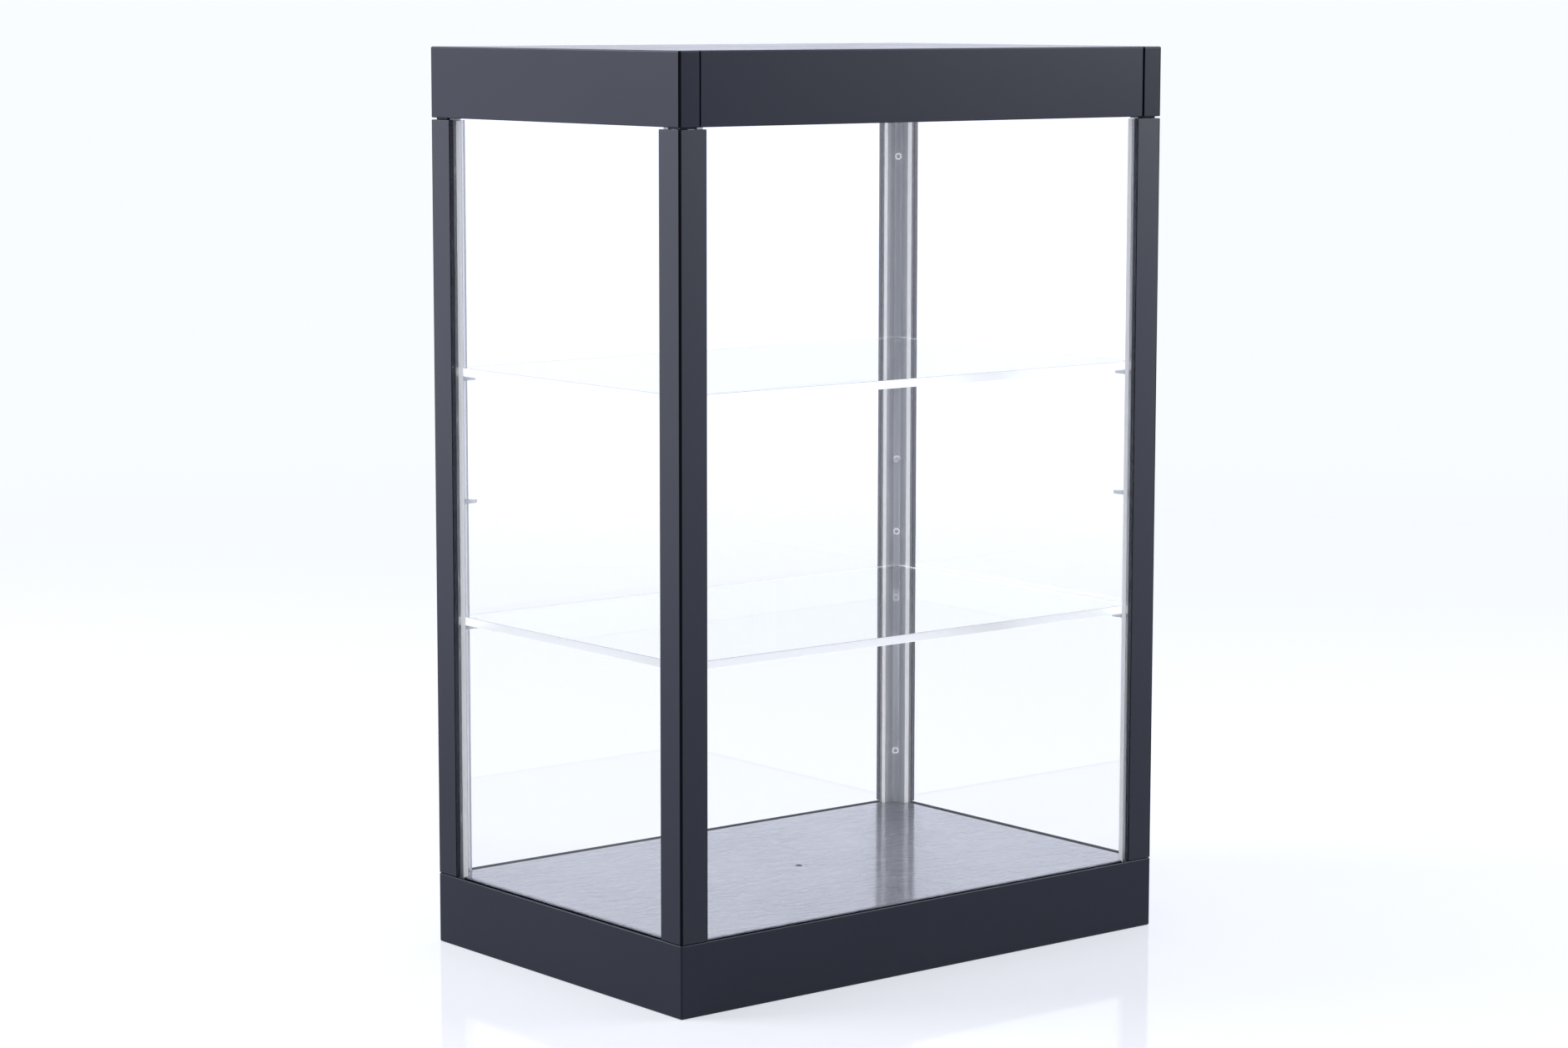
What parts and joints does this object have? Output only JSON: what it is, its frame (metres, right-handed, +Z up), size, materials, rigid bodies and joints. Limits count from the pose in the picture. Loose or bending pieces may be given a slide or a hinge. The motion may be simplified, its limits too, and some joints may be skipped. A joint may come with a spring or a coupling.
{
  "type": "model car display case",
  "caption": "Free-standing clear case with a black plinth, header and corner posts, loose shelves and a front wall that slides up.",
  "frame": {"origin": "centre of the footprint, on the surface that the case stands on", "axes": "+Z up; X along the long front, +X to the right seen from the front; +Y to the rear"},
  "size_m": [0.24, 0.158, 0.3544],
  "materials": {
    "black_plastic": "satin moulded black",
    "clear_plastic": "clear, glossy"
  },
  "bodies": {
    "case_frame": {"base_plinth": "black_plastic", "post_front_left": "black_plastic", "post_front_right": "black_plastic", "post_rear_left": "black_plastic", "post_rear_right": "black_plastic", "strip_front_left": "clear_plastic", "strip_front_right": "clear_plastic", "strip_rear_left": "clear_plastic", "strip_rear_right": "clear_plastic", "panel_left": "clear_plastic", "panel_right": "clear_plastic", "panel_rear": "clear_plastic", "header": "black_plastic"},
    "front_door": {"door_panel": "clear_plastic", "door_fascia": "black_plastic"},
    "lower_shelf": {"shelf_lower": "clear_plastic"},
    "upper_shelf": {"shelf_upper": "clear_plastic"}
  },
  "joints": [
    {"name": "front_door_lift", "type": "slide", "parent": "case_frame", "child": "front_door", "axis": [0, 0, 1], "range_m": [0, 0.332]},
    {"name": "lower_shelf_lift", "type": "slide", "parent": "case_frame", "child": "lower_shelf", "axis": [0, 0, 1], "range_m": [0, 0.0437]},
    {"name": "upper_shelf_lift", "type": "slide", "parent": "case_frame", "child": "upper_shelf", "axis": [0, 0, 1], "range_m": [0, 0.096]}
  ]
}
